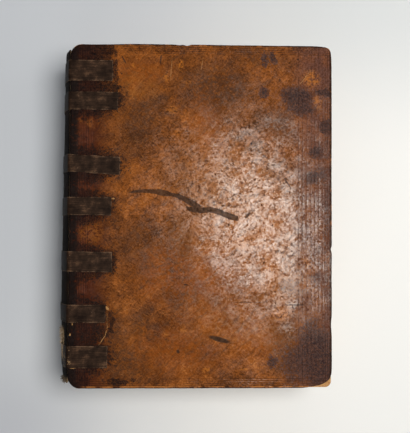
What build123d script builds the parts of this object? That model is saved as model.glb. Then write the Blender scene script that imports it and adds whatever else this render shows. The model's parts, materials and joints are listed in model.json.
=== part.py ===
from build123d import *

import math
import os

# An old calf-bound quarto dictionary, lying closed on its back cover. All lengths are in mm.
# +X runs from the spine to the fore-edge, +Y from the tail to the head, +Z from the back cover to the front.
# The origin is under the middle of the closed book, on the surface that it lies on.

# Covers: pasteboards in calf, measured from the joint line to the fore-edge
cover_height = 290.0
cover_width = 222.0
board_thickness = 3.6
calf_thickness = 1.0
turn_in_thickness = 0.4
turn_in_width = 14.0
fore_corner_radius = 6.0
back_corner_radius = 10.0
cover_edge_radius = 1.6
worn_corner_radius = 7.0

# Pastedowns: the paper sheets glued inside the covers
pastedown_margin = 0.3

# Leaves: one sewn block, rounded and backed, thicker where the thread is
leaves_thickness = 60.0
leaves_swell = 4.0
leaves_square = 6.0
fore_edge_hollow = 5.0
back_round = 6.6

# Joint: the gap between the covers and the shoulders of the leaves
joint_gap = 1.2
joint_drop = 0.4
page_clearance = 0.2

# Spine leather: worn short at head and tail, and standing off the leaves most at a place nearer the tail
spine_thickness = 1.0
spine_clearance = 0.15
head_loss = 5.5
tail_loss = 3.7
spine_bulge = 2.6
bulge_place_share = 0.77
tail_bulge_share = 0.25

# Straps: thin leather strips glued round the spine to hold the covers on
strap_thickness = 0.6
strap_width = 16.5
strap_reach = 36.5
strap_corner_radius = 1.0
strap_glue = 0.05
strap_centre_shares = (0.0805, 0.169, 0.350, 0.475, 0.635, 0.785, 0.909)
strap_width_shares = (1.09, 0.94, 0.92, 0.94, 1.04, 0.92, 1.12)
strap_reach_shares = (1.00, 1.12, 1.18, 0.99, 1.01, 0.87, 0.92)
strap_slants_deg = (0.0, 0.0, 3.4, 0.0, 0.8, 0.0, 0.0)

# Sewing: cords let into saw cuts across the back of the leaves, and a band at each end
cord_count = 5
cord_diameter = 2.6
cord_sides = 8
cord_clearance = 0.1
cord_end_margin = 38.0
cord_span_share = 0.96
saw_cut_span_share = 1.2
endband_diameter = 1.6
endband_clearance = 0.1
endband_span_share = 0.92

# One overrun for every cut that has to pass right through
cut_overrun = 2.0

# Levels and places that follow from the sizes above
half_gap = joint_gap / 2
half_height = cover_height / 2
cover_thickness = calf_thickness + board_thickness + turn_in_thickness
cover_depth = strap_thickness + cover_thickness
page_depth = cover_depth + page_clearance
book_thickness = leaves_thickness + 2 * page_depth
middle_z = book_thickness / 2
leaves_half_height = half_height - leaves_square
front_slope = math.atan2(leaves_swell, cover_width - leaves_square)
spine_head = half_height - head_loss
spine_tail = tail_loss - half_height
bulge_y = spine_head - bulge_place_share * (spine_head - spine_tail)

# The back of the leaves, the spine leather and the straps lie round it as rings about one centre line
strap_round = back_round + spine_clearance + spine_thickness + strap_glue + strap_thickness
strap_half_chord = middle_z - joint_drop
strap_radius = (strap_half_chord**2 + strap_round**2) / (2 * strap_round)
centre_depth = strap_radius - strap_round
leather_radius = strap_radius - strap_thickness - strap_glue
leather_round = leather_radius - centre_depth
leather_half_chord = math.sqrt(leather_radius**2 - centre_depth**2)
back_radius = leather_radius - spine_thickness - spine_clearance
back_half_chord = math.sqrt(back_radius**2 - centre_depth**2)
back_half_angle = math.degrees(math.acos(centre_depth / back_radius))


def bulge(y):
    """How far the spine leather stands off the leaves at height y: nothing at the head, most above the tail."""
    if y > bulge_y:
        return spine_bulge * (spine_head - y) / (spine_head - bulge_y)
    tail_share = (bulge_y - y) / (bulge_y - spine_tail)
    return spine_bulge * (1 - tail_share * (1 - tail_bulge_share))


def spine_stops(low, high):
    """The heights between which the bulge grows or shrinks evenly, from low to high."""
    return [low, bulge_y, high] if low < bulge_y < high else [low, high]


def strap_span(number):
    """Lowest and highest y of a strap where it crosses the spine."""
    centre = half_height - strap_centre_shares[number] * cover_height
    half_width = strap_width * strap_width_shares[number] / 2
    return centre - half_width, centre + half_width


# The joint line is placed so that the origin is under the middle of the whole book
strap_numbers = range(len(strap_centre_shares))
strap_bulge = max(bulge(y) for number in strap_numbers for y in spine_stops(*strap_span(number)))
spine_reach = half_gap + max(strap_round + strap_bulge, leather_round + spine_bulge)
joint_x = (spine_reach - cover_width) / 2
shoulder_x = joint_x - half_gap
back_axis = Axis((shoulder_x + centre_depth, 0, middle_z), (0, 1, 0))

# Each cover is built flat, with its joint line on the Y axis and its outside up, and then put in its place
front_place = Pos(joint_x, 0, book_thickness) * Rotation(0, math.degrees(front_slope), 0)
back_place = Pos(joint_x, 0, 0) * Rotation(180, 0, 0)


def cover_outline(inset):
    """Outline of a cover, taken in from the head, tail and fore-edge, with rounded corners."""
    width = cover_width - inset - half_gap
    outline = Pos(half_gap + width / 2, 0) * Rectangle(width, cover_height - 2 * inset)
    outline = fillet(outline.vertices().group_by(Axis.X)[-1], fore_corner_radius - inset)
    return fillet(outline.vertices().group_by(Axis.X)[0], back_corner_radius - inset)


def layer(outline, depth, thickness):
    """An outline made solid, from a depth below the joint line down."""
    return Pos(0, 0, -depth) * extrude(outline, amount=-thickness)


def pasteboard():
    """The board inside a cover, flush with the leather at the joint."""
    return layer(cover_outline(calf_thickness), strap_thickness + calf_thickness, board_thickness)


def inner_panel(margin):
    """The panel inside a cover that the turned-in leather leaves bare, taken in by a margin."""
    width = cover_width - turn_in_width - half_gap - margin
    height = cover_height - 2 * (turn_in_width + margin)
    return Pos(half_gap + width / 2, 0) * Rectangle(width, height)


def cover_leather(board):
    """The calf over a board: one outer sheet, wrapped over three edges and turned in."""
    slab = layer(cover_outline(0), strap_thickness, cover_thickness)
    slab = fillet(slab.edges().group_by(Axis.Z)[-1], cover_edge_radius)
    slab = fillet(slab.edges().group_by(Axis.Z)[0], turn_in_thickness)
    window = layer(inner_panel(0), strap_thickness + calf_thickness + board_thickness, cut_overrun)
    return slab - board - window


def pastedown():
    """The sheet pasted inside a cover, level with the turned-in leather."""
    return layer(inner_panel(pastedown_margin), cover_depth - turn_in_thickness, turn_in_thickness)


def worn_corner():
    """What the years have rubbed off the leather at one fore-edge corner, baring the board."""
    height = cover_depth + 2 * cut_overrun
    return Pos(cover_width, -half_height, -cover_depth / 2) * Cylinder(worn_corner_radius, height)


def strap_end(number, side, slant_deg):
    """The end of a strap that is glued on a cover. Side is 1 on the front and -1 on the back."""
    low, high = (side * y for y in strap_span(number))
    reach = strap_reach * strap_reach_shares[number]
    drift = -side * reach * math.tan(math.radians(slant_deg))
    corners = ((half_gap, low), (reach, low + drift), (reach, high + drift), (half_gap, high))
    outline = make_face(Polyline(*corners, close=True))
    outline = fillet(outline.vertices().group_by(Axis.X)[-1], strap_corner_radius)
    return layer(outline, 0, strap_thickness)


def spine_section(y, half_chord, rounding, thickness):
    """A ring section across the spine at height y: its outer arc ends at the joint plane."""
    radius = (half_chord**2 + rounding**2) / (2 * rounding)
    centre = radius - rounding
    inner_radius = radius - thickness
    inner_half_chord = math.sqrt(inner_radius**2 - centre**2)
    inner_rounding = inner_radius - centre
    outline = [
        ThreePointArc((0, half_chord), (-rounding, 0), (0, -half_chord)),
        Line((0, -half_chord), (0, -inner_half_chord)),
        ThreePointArc((0, -inner_half_chord), (-inner_rounding, 0), (0, inner_half_chord)),
        Line((0, inner_half_chord), (0, half_chord)),
    ]
    plane = Plane((shoulder_x, y, middle_z), x_dir=(1, 0, 0), z_dir=(0, -1, 0))
    return plane * make_face(outline)


def spine_wrap(low, high, half_chord, rounding, thickness):
    """A piece of leather round the spine between two heights, standing off as far as it is loose there."""
    heights = spine_stops(low, high)
    return loft([spine_section(y, half_chord, rounding + bulge(y), thickness) for y in heights], ruled=True)


def page_top(x):
    """Height of the topmost leaf at x: it lies just under the front cover's inside."""
    along = (x - joint_x + page_depth * math.sin(front_slope)) / math.cos(front_slope)
    return book_thickness - along * math.sin(front_slope) - page_depth * math.cos(front_slope)


def turned(section, half_angle):
    """A section swung about the centre line of the book's back, as far each way."""
    return revolve(section, back_axis, 2 * half_angle).rotate(back_axis, -half_angle)


def back_plane(radius, y):
    """A plane for such a section, across the back at a height, at a radius from its centre line."""
    return Plane((back_axis.position.X - radius, y, middle_z))


def saw_cut(y):
    """The slot across the back of the leaves that a cord lies in."""
    depth = cord_diameter + cord_clearance + cut_overrun
    width = cord_diameter + 2 * cord_clearance
    radius = back_radius + cut_overrun - depth / 2
    return turned(back_plane(radius, y) * Rectangle(depth, width), back_half_angle * saw_cut_span_share)


def text_block():
    """The leaves, with a rounded back, shoulders for the covers and a hollow fore-edge."""
    fore_x = joint_x + cover_width - leaves_square
    low = page_depth
    fore_top = page_top(fore_x)
    outline = [
        ThreePointArc(
            (shoulder_x, middle_z + back_half_chord),
            (shoulder_x - back_round, middle_z),
            (shoulder_x, middle_z - back_half_chord),
        ),
        Line((shoulder_x, middle_z - back_half_chord), (shoulder_x, low)),
        Line((shoulder_x, low), (fore_x, low)),
        ThreePointArc(
            (fore_x, low),
            (fore_x - fore_edge_hollow, (low + fore_top) / 2),
            (fore_x, fore_top),
        ),
        Line((fore_x, fore_top), (shoulder_x, page_top(shoulder_x))),
        Line((shoulder_x, page_top(shoulder_x)), (shoulder_x, middle_z + back_half_chord)),
    ]
    return extrude(Plane.XZ * make_face(outline), amount=leaves_half_height, both=True)


def cord_heights():
    """Heights of the sewing cords, evenly spaced between the end margins."""
    top = leaves_half_height - cord_end_margin
    return [top - 2 * top * number / (cord_count - 1) for number in range(cord_count)]


def cord_section(diameter):
    """The section of a twisted cord, its round given by a few flat sides."""
    return RegularPolygon(diameter / 2, cord_sides)


def sewing_cord(y):
    """A cord that the leaves are sewn on, sunk level with their back."""
    radius = back_radius - cord_diameter / 2
    return turned(back_plane(radius, y) * cord_section(cord_diameter), back_half_angle * cord_span_share)


def endband(end):
    """The worked band on the back edge of the leaves. End is 1 at the head and -1 at the tail."""
    y = end * (leaves_half_height + endband_diameter / 2 + endband_clearance)
    radius = back_radius - endband_diameter / 2
    return turned(back_plane(radius, y) * cord_section(endband_diameter), back_half_angle * endband_span_share)


def build():
    """Every piece of the book in its place, by name."""
    board = pasteboard()
    leather = cover_leather(board)
    paper = pastedown()
    nodes = {
        "front_board": front_place * board,
        "front_leather": front_place * (leather - worn_corner()),
        "front_pastedown": front_place * paper,
        "back_board": back_place * board,
        "back_leather": back_place * leather,
        "back_pastedown": back_place * paper,
        "spine_leather": spine_wrap(spine_tail, spine_head, leather_half_chord, leather_round, spine_thickness),
        "head_band": endband(1),
        "tail_band": endband(-1),
    }
    for number in strap_numbers:
        low, high = strap_span(number)
        name = f"strap_{number + 1}"
        nodes[f"{name}_front"] = front_place * strap_end(number, 1, strap_slants_deg[number])
        nodes[f"{name}_spine"] = spine_wrap(low, high, strap_half_chord, strap_round, strap_thickness)
        nodes[f"{name}_back"] = back_place * strap_end(number, -1, 0)
    leaves = text_block()
    for number, y in enumerate(cord_heights(), 1):
        leaves -= saw_cut(y)
        nodes[f"sewing_cord_{number}"] = sewing_cord(y)
    nodes["text_block"] = leaves
    return nodes


os.makedirs("parts", exist_ok=True)
for node, piece in build().items():
    export_step(piece, f"parts/{node}.step")
    print(node, [round(value, 2) for value in piece.bounding_box().size])
print("joint line x", round(joint_x, 4), "thickness", round(book_thickness, 4), "reach", round(spine_reach, 4))
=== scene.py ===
# %% [markdown]
# # An old calf-bound dictionary, held together by repair straps
#
# The book lies closed on its back cover, and the camera looks down on the front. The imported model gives
# every piece its place, so nothing is fitted by eye: sizes are read from it, in millimetres, and each piece
# is built where its solid is. Covers, spine and straps are sheets of leather, so most of the lesson is
# about leather.

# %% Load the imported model
import json
import math
import random

import bmesh
import bpy
from mathutils import Matrix, Quaternion, Vector, noise


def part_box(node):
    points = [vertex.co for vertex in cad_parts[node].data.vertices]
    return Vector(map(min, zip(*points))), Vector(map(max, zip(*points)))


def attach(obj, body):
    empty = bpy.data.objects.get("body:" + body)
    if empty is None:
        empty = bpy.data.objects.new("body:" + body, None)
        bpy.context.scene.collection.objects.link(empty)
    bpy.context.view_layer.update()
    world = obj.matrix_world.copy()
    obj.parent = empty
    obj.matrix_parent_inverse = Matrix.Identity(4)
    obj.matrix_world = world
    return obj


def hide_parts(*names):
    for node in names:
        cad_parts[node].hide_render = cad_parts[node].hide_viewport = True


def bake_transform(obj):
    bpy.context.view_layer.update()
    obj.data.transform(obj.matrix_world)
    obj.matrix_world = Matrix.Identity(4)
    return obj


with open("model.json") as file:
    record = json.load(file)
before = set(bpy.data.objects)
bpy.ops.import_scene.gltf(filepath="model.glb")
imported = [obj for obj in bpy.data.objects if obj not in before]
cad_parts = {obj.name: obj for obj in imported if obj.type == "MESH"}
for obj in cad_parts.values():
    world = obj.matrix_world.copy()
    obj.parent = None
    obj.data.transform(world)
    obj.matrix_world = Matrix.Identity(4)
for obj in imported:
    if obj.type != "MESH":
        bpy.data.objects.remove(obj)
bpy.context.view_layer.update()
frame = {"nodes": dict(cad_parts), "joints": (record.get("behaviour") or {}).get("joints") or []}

# %% [markdown]
# ## Sizes
#
# Places come from the boxes of the solids and from the two joints. What a box can't tell, such as the
# radius of a rounded edge, is repeated here as a named value of the binding.

# %% Read the sizes of the book
MM = 0.001

EDGE_RADIUS = 1.6
FORE_CORNER_RADIUS = 6.0
BACK_CORNER_RADIUS = 10.0
TURN_IN_WIDTH = 14.0
LEAVES_SWELL = 4.0
LEAVES_SQUARE = 6.0
FORE_EDGE_HOLLOW = 5.0
BACK_ROUND = 6.6
JOINT_DROP = 0.4
SPINE_CLEARANCE = 0.15
SPINE_THICKNESS = 1.0
STRAP_GLUE = 0.05
SPINE_BULGE = 2.6
BULGE_PLACE_SHARE = 0.77
TAIL_BULGE_SHARE = 0.25
STRAP_COUNT = 7


def box_mm(node):
    """Lowest and highest corner of a CAD node, in millimetres."""
    low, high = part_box(node)
    return low / MM, high / MM


joints = {joint["name"]: joint for joint in frame["joints"]}
joint_x = joints["front_joint"]["pos_m"][0] / MM
top_z = joints["front_joint"]["pos_m"][2] / MM
middle_z = top_z / 2
back_low, back_high = box_mm("back_leather")
half_gap = back_low.x - joint_x
cover_width = back_high.x - joint_x
half_height = back_high.y
strap_thickness = back_low.z
cover_depth = back_high.z
leaf_low = box_mm("text_block")[0].z
leaves_half_height = box_mm("text_block")[1].y
spine_tail, spine_head = box_mm("spine_leather")[0].y, box_mm("spine_leather")[1].y
shoulder_x = joint_x - half_gap
front_slope = math.atan2(LEAVES_SWELL, cover_width - LEAVES_SQUARE)
front_place = Matrix.Translation((joint_x, 0, top_z)) @ Matrix.Rotation(front_slope, 4, "Y")
back_place = Matrix.Translation((joint_x, 0, 0)) @ Matrix.Rotation(math.pi, 4, "X")
print("cover", round(cover_width, 2), "by", round(2 * half_height, 2), "joint line", round(joint_x, 2))

# %% [markdown]
# ## Tools for meshes
#
# Old leather is never straight, so one smooth random function bends every edge a little. It takes a seed,
# and the same seed always gives the same bends. A sheet of leather is an outer surface, an inner one a
# thickness below it, and a rim that is pared thinner. The rim is kept as an attribute, so that a finish can
# rub it.


# %% Smooth random values
def wobble(seed, size, *place):
    """A smooth random value from about -1 to 1 at a place, changing over a given size."""
    x, y, z = (*place, 0.0, 0.0)[:3]
    return noise.noise(Vector((x / size + 7.31 * seed, y / size - 3.17 * seed, z / size + 11.9 * seed)))


def fade(value, low, high):
    """0 below low, 1 above high and a soft step between."""
    share = min(max((value - low) / (high - low), 0.0), 1.0)
    return share * share * (3 - 2 * share)


def spread(low, high, count):
    """Evenly spaced values from low to high."""
    return [low + (high - low) * number / (count - 1) for number in range(count)]


print("sample bend", round(wobble(1, 10, 3.0, 4.0), 3))

# %% Mesh helpers
MERGE_DISTANCE = 0.004
PARED_SHARE = 0.225
CUT_EDGE_DEG = 60


def grid_faces(rows, columns, start=0):
    """Quads of a grid whose points are listed row by row."""
    corners = [start + r * columns + c for r in range(rows - 1) for c in range(columns - 1)]
    return [(k, k + 1, k + columns + 1, k + columns) for k in corners]


def grid_border(rows, columns):
    """Numbers of the points that lead once round a grid."""
    right = [r * columns + columns - 1 for r in range(1, rows)]
    top = [(rows - 1) * columns + c for c in range(columns - 2, -1, -1)]
    left = [r * columns for r in range(rows - 2, 0, -1)]
    return list(range(columns)) + right + top + left


def with_next(ring):
    """Each point of a ring with the one after it, and the last with the first."""
    return zip(ring, ring[1:] + ring[:1])


def bridge(ring, other):
    """Quads between two rings that have the same number of points."""
    return [(a, b, d, c) for (a, b), (c, d) in zip(with_next(ring), with_next(other))]


def placed(name, data):
    """An object for a mesh, lamp or camera, put into the scene at the origin."""
    piece = bpy.data.objects.new(name, data)
    bpy.context.collection.objects.link(piece)
    return piece


def raw_mesh(name, points, edges, faces):
    """A mesh from points in millimetres."""
    mesh = bpy.data.meshes.new(name)
    mesh.from_pydata([tuple(value * MM for value in point) for point in points], edges, faces)
    return mesh


def mesh_piece(name, points, faces, rim=None):
    """An object from points in millimetres, with doubles merged and its faces turned outwards."""
    mesh = raw_mesh(name, points, [], faces)
    if rim:
        mesh.attributes.new("rim", "FLOAT", "POINT").data.foreach_set("value", rim)
    shell = bmesh.new()
    shell.from_mesh(mesh)
    bmesh.ops.remove_doubles(shell, verts=shell.verts, dist=MERGE_DISTANCE * MM)
    bmesh.ops.recalc_face_normals(shell, faces=shell.faces)
    shell.to_mesh(mesh)
    shell.free()
    mesh.shade_smooth()
    return placed(name, mesh)


def leather_sheet(name, outer, thickness, seam=False):
    """A closed sheet from rows of outer points. Its rim is pared, but not where the last column is a seam."""
    rows, columns = len(outer), len(outer[0])
    top, under, rims = [], [], []
    for r in range(rows):
        for c in range(columns):
            along = outer[min(r + 1, rows - 1)][c] - outer[max(r - 1, 0)][c]
            across = outer[r][min(c + 1, columns - 1)] - outer[r][max(c - 1, 0)]
            normal = along.cross(across).normalized()
            point = outer[r][c]
            if normal.dot(point - Vector((0, point.y, middle_z))) < 0:
                normal = -normal
            rim = float(r in (0, rows - 1) or c == 0 or c == columns - 1 and not seam)
            rims.append(rim)
            top.append(point - normal * thickness * PARED_SHARE * rim)
            under.append(point - normal * thickness)
    faces = grid_faces(rows, columns) + [face[::-1] for face in grid_faces(rows, columns, rows * columns)]
    for first, second in with_next(grid_border(rows, columns)):
        faces.append((first, first + rows * columns, second + rows * columns, second))
    sheet = mesh_piece(name, top + under, faces, rims + rims)
    sheet.data.set_sharp_from_angle(angle=math.radians(CUT_EDGE_DEG))
    return sheet


print("a grid of 3 by 3 points:", len(grid_faces(3, 3)), "faces,", len(grid_border(3, 3)), "border points")

# %% [markdown]
# ## Writing shaders as formulas
#
# A finish is easier to read as sums and products than as a picture of wires. The class below wraps one
# output of a node tree: plus, minus, times and the rest add Math nodes, and `make` adds any other node.
# Colours always go through a Mix node, because a Math node would turn them grey.


# %% The wire class
class Wire:
    """One output of a node tree that can be used in a formula."""

    def __init__(self, tree, socket=None):
        self.tree = tree
        self.socket = socket

    def make(self, kind, settings=None, sockets=None, out=0):
        """Adds a node, sets it up, fills or links its sockets and gives one of its outputs."""
        node = self.tree.nodes.new(kind)
        for name, value in (settings or {}).items():
            if name == "stops":
                ramp = node.color_ramp
                while len(ramp.elements) < len(value):
                    ramp.elements.new(1.0)
                for element, (position, color) in zip(ramp.elements, value):
                    element.position = position
                    element.color = color
            elif name == "bends":
                curve = node.mapping.curves[0]
                while len(curve.points) < len(value):
                    curve.points.new(0.5, 0.5)
                for point, place in zip(curve.points, value):
                    point.location = place
                node.mapping.update()
            else:
                setattr(node, name, value)
        for name, value in (sockets or {}).items():
            if isinstance(value, Wire):
                self.tree.links.new(value.socket, node.inputs[name])
            else:
                node.inputs[name].default_value = value
        return Wire(self.tree, node.outputs[out] if node.outputs else None)

    def math(self, operation, *values):
        """A Math node on values or wires."""
        return self.make("ShaderNodeMath", {"operation": operation}, dict(enumerate(values)))

    def __add__(self, other):
        return self.math("ADD", self, other)

    __radd__ = __add__

    def __sub__(self, other):
        return self.math("SUBTRACT", self, other)

    def __rsub__(self, other):
        return self.math("SUBTRACT", other, self)

    def __mul__(self, other):
        return self.math("MULTIPLY", self, other)

    __rmul__ = __mul__

    def __abs__(self):
        return self.math("ABSOLUTE", self)

    def larger(self, other):
        """The larger of two values."""
        return self.math("MAXIMUM", self, other)

    def rise(self, low, high):
        """0 at low, 1 at high and a soft step between, also where low is the larger."""
        sockets = {"Value": self, "From Min": low, "From Max": high}
        return self.make("ShaderNodeMapRange", {"interpolation_type": "SMOOTHSTEP"}, sockets)

    def mix(self, first, second):
        """A colour between two, by this value."""
        return self.make("ShaderNodeMix", {"data_type": "RGBA"}, {0: self, 6: first, 7: second}, out=2)

    def ramp(self, *stops):
        """A colour from a list of positions and tones."""
        return self.make("ShaderNodeValToRGB", {"stops": stops}, {0: self})


print("wire class ready")


# %% Helpers for finishes
def tone(red, green, blue):
    """A display colour from 0 to 255 as the linear colour that a node holds."""
    shares = [value / 255 for value in (red, green, blue)]
    linear = [share / 12.92 if share <= 0.04045 else ((share + 0.055) / 1.055) ** 2.4 for share in shares]
    return (*linear, 1.0)


def new_finish(name):
    """An empty material, the start of its tree, and its places in millimetres."""
    material = bpy.data.materials.new(name)
    material.use_nodes = True
    material.node_tree.nodes.clear()
    start = Wire(material.node_tree)
    place = start.make("ShaderNodeTexCoord", out="Object")
    scale = {0: place, 1: (1 / MM, 1 / MM, 1 / MM)}
    return material, start, start.make("ShaderNodeVectorMath", {"operation": "MULTIPLY"}, scale)


def grain(place, size, detail=3.0, rough=0.55):
    """Cloudy noise from 0 to 1 with features of a given size."""
    sockets = {"Vector": place, "Scale": 1 / size, "Detail": detail, "Roughness": rough}
    return place.make("ShaderNodeTexNoise", None, sockets)


def dots(place, scale):
    """Distance to the nearest of many scattered points."""
    sockets = {"Vector": place, "Scale": scale}
    return place.make("ShaderNodeTexVoronoi", {"feature": "F1"}, sockets, out="Distance")


def turned(place, x=0.0, y=0.0, degrees=0.0, size_x=1.0, size_y=1.0, size_z=1.0):
    """The place seen from a centre, turned, and measured in its own two sizes."""
    sockets = {
        "Vector": place,
        "Location": (x, y, 0.0),
        "Rotation": (0.0, 0.0, math.radians(degrees)),
        "Scale": (size_x, size_y, size_z),
    }
    return place.make("ShaderNodeMapping", {"vector_type": "TEXTURE"}, sockets)


def flat(place):
    """The same place with its height left out, so that a mark goes straight through the leather."""
    sockets = {0: place, 1: (1.0, 1.0, 0.0)}
    return place.make("ShaderNodeVectorMath", {"operation": "MULTIPLY"}, sockets)


def shaken(place, size, amount):
    """The place moved about by noise, which frays the edge of whatever is drawn with it."""
    cloud = {"Vector": place, "Scale": 1 / size, "Detail": 4.0, "Roughness": 0.65}
    shift = place.make("ShaderNodeTexNoise", None, cloud, out="Color")
    middle = place.make("ShaderNodeVectorMath", {"operation": "SUBTRACT"}, {0: shift, 1: (0.5, 0.5, 0.5)})
    sockets = {0: middle, 1: (2 * amount, 2 * amount, 0.0), 2: place}
    return place.make("ShaderNodeVectorMath", {"operation": "MULTIPLY_ADD"}, sockets)


def coordinate(place, axis):
    """One coordinate of a place."""
    return place.make("ShaderNodeSeparateXYZ", None, {0: place}, out=axis)


def blots(place, marks, soft=0.35):
    """The largest of several oval marks, each (x, y, half width, half height, degrees, strength)."""
    # A gradient node measures each oval, because Math nodes for so many marks would overflow the shader.
    total, outer = None, 1 + soft
    for x, y, half_width, half_tall, degrees, strength in marks:
        oval = turned(place, x, y, degrees, half_width * outer, half_tall * outer)
        inside = place.make("ShaderNodeTexGradient", {"gradient_type": "SPHERICAL"}, {"Vector": oval}, out=1)
        mark = inside.rise(0.0, 2 * soft / outer) * strength
        total = mark if total is None else total.larger(mark)
    return total


def close_finish(start, color, roughness, height, depth, **constants):
    """Ends a finish: the surface shader, its relief with a depth in millimetres, and the output."""
    relief = {"Height": height, "Distance": depth * MM, "Strength": 1.0}
    sockets = {"Base Color": color, "Roughness": roughness}
    sockets.update({name.replace("_", " "): value for name, value in constants.items()})
    sockets["Normal"] = start.make("ShaderNodeBump", None, relief)
    start.make("ShaderNodeOutputMaterial", None, {0: start.make("ShaderNodeBsdfPrincipled", None, sockets)})


print("tools for finishes ready")

# %% [markdown]
# ## Calf on the covers
#
# The front is mottled brown calf: rubbed orange where hands polished it, purple-black where damp got in,
# dark round the straps where glue soaked through. The rubbed places that spread to the lower right are
# painted sheen as well as rubbed leather, and towards the right the black stains turn grey, a painted sheen
# on them. Every mark has a place on the cover, so each kind is a short list of ovals in millimetres, with
# the joint line at `MARKS_JOINT_X`, and noise frays their edges.
# The blind lines near the edges are pressed in by a hot tool: they are real grooves in the mesh, and the
# finish only darkens them.

# %% Marks on the covers
MARKS_JOINT_X = -104.25
MARKS_FORE_X = MARKS_JOINT_X + cover_width
JOINT_LINES = spread(7.5, 15.9, 7)
JOINT_RIDGES = spread(8.2, 19.4, 9)
FORE_LINES = (2.2, 3.9, 5.8, 7.9, 11.4, 14.6, 17.8, 21.4, 25.2, 28.6)
END_LINES = (2.7, 4.4, 6.3, 8.1)

BLACK_STAINS = (
    (-88, 137, 19, 8.0, 0, 1.6), (-84, 108, 21, 7.0, 0, 1.5), (-97, -136, 10, 11, 0, 1.5),
    (87, 101, 14, 8.5, -12, 1.1), (92, 91, 14, 7.0, -8, 0.9), (110, 104.5, 7.5, 3.5, 0, 1.1),
    (112, 76, 5.0, 7.5, 0, 1.0), (104, 54, 6.5, 7.0, 0, 0.85), (103, 33, 10.5, 7.0, 20, 0.8),
    (60, 132, 3.0, 5.5, 0, 0.85), (67, 134, 3.6, 7.0, 0, 1.1), (60, 104, 5.2, 4.2, 0, 1.0),
    (104, -117, 15, 28, 10, 1.1), (90, -124, 16, 16, 30, 0.8), (67, -123, 4.4, 5.2, 0, 0.95),
    (83, -60, 12, 6.5, -10, 0.45), (104, -51, 5.5, 5.5, 0, 0.6), (-60, -139, 13, 3.5, 0, 0.75),
    (-67, -92, 2.2, 8.0, 0, 0.9), (-85, -100, 17, 10, 0, 0.9), (-69, 121, 5.5, 10.5, 0, 0.95),
    (-65, 97, 5.0, 8.5, 0, 0.95), (-68, -40, 4.5, 10.5, 0, 0.95), (-70, -118, 4.0, 9.5, 0, 0.7),
    (113, 10, 3.2, 120, 0, 0.45), (-100, 70, 4.5, 26, 0, 0.55), (-100, -60, 4.0, 70, 0, 0.8),
)
OCHRE_FLECKS = (
    (-10.9, 127, 2.2, 4.2, 0, 0.9), (-50.4, 125.7, 1.4, 3.2, 15, 0.6), (-22.7, 115.2, 2.0, 3.4, 35, 0.7),
    (-4.7, 112.4, 2.6, 1.5, 0, 0.5), (-17.9, 88.8, 4.2, 3.2, 0, 0.6), (-13.2, 69.9, 2.0, 2.6, 0, 0.5),
    (100, 116.6, 6.5, 6.5, 0, 0.8), (105, 94.8, 3.6, 7.0, 0, 0.75), (41.9, -22.6, 5.5, 5.5, 0, 0.7),
    (64.4, -44.1, 3.8, 3.6, 0, 0.6), (74.3, -82.6, 7.5, 5.5, 0, 0.75), (96.3, -39.7, 3.0, 4.0, 0, 0.6),
    (11.2, -129.4, 3.4, 1.7, 8, 0.85), (43.3, -128.9, 3.2, 1.0, 4, 0.8), (56.6, -126.9, 3.6, 0.9, 15, 0.7),
    (-7.4, -95.3, 3.2, 2.4, 30, 0.6), (-22.7, -100, 2.6, 2.0, 0, 0.55), (-45, 108, 17, 9.0, -20, 0.3),
    (-71.4, -78.5, 0.8, 3.2, 2, 0.7), (-72.9, -99.6, 1.0, 5.0, -24, 0.5), (-86, -14, 9.0, 11, 0, 0.4),
)
DARK_CUTS = (
    (-59, 131, 0.6, 3.9, 27, 0.9), (-28, 131.5, 0.7, 4.0, -6, 0.8), (79.5, 28, 0.6, 5.6, 34, 0.75),
    (46.3, -72.9, 14.5, 0.35, 0, 0.6), (86.4, -75.1, 9.6, 0.5, 0, 0.85), (22.5, -104, 9.2, 2.1, -15, 0.95),
    (46.1, 0.2, 3.4, 1.1, 48, 0.85), (-5.3, -58.4, 2.2, 0.6, -10, 0.9), (-12, -114.1, 1.2, 1.7, 20, 0.9),
    (48.9, 61, 0.9, 1.1, 0, 0.9), (88.5, 133, 1.0, 1.0, 0, 0.8), (73, 115.5, 0.9, 0.9, 0, 0.8),
)
DUSKY_ZONES = (
    (-43, 86, 17, 30, -15, 0.75), (20, 108, 34, 20, -10, 0.8), (72, 78, 24, 11, -35, 0.7),
    (-44, -16, 12, 11, 0, 0.6), (-12, -25, 12, 26, -15, 0.65), (-8, -69, 12, 8, 0, 0.6),
    (-42, -92, 10, 13, 0, 0.7), (76, -105, 13, 20, 0, 0.7), (-36, -32, 18, 22, 20, 0.55),
    (-58, -125, 20, 16, 0, 0.8), (-62, -96, 10, 18, 0, 0.6), (56, 135, 22, 8, 0, 0.7),
    (-58, 104, 9, 16, 0, 0.6),
)
WARM_ZONES = (
    (-45, 120, 20, 10, 0, 0.5), (10, 76, 13, 22, 10, 0.5), (-31, -50, 13, 21, 0, 0.6),
    (-10, -113, 32, 20, 0, 0.6), (49, -105, 22, 13, 0, 0.5), (2, -52, 40, 24, 0, 0.6),
    (22, -84, 40, 20, 0, 0.5),
)
# Rubbed places are lighter tan; where they reach to the lower right they are also painted sheen, a lighter
# colour standing in for the gloss.
RUBBED_AND_SHEEN_ZONES = ((42, 6, 46, 62, 35, 1.0), (76, -44, 30, 44, 25, 0.9), (44, -84, 40, 22, 0, 0.5))
HAIRS = (
    (-71.3, -88, 0.22, 6.5, 1, 0.4), (-71.8, -97, 0.26, 4.6, -14, 0.6), (-75.2, -104.4, 0.3, 5.0, -34, 0.65),
    (-100.4, -88.6, 0.8, 1.0, 10, 0.9), (-100.2, -91.6, 0.6, 0.8, 0, 0.7), (-102, -100, 0.6, 1.0, -12, 0.9),
    (-99.0, -127.6, 3.0, 0.6, 4, 0.8), (-71.2, -78.0, 1.0, 1.8, 30, 0.8), (-90, 93.6, 5.0, 0.4, 3, 0.7),
    (95, 118, 0.35, 8.0, -38, 0.45), (-67, 13.6, 1.2, 0.7, 0, 0.7), (7, 128, 0.4, 5.0, -10, 0.4),
    (-19, 123, 0.4, 9.0, -4, 0.35),
)
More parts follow.
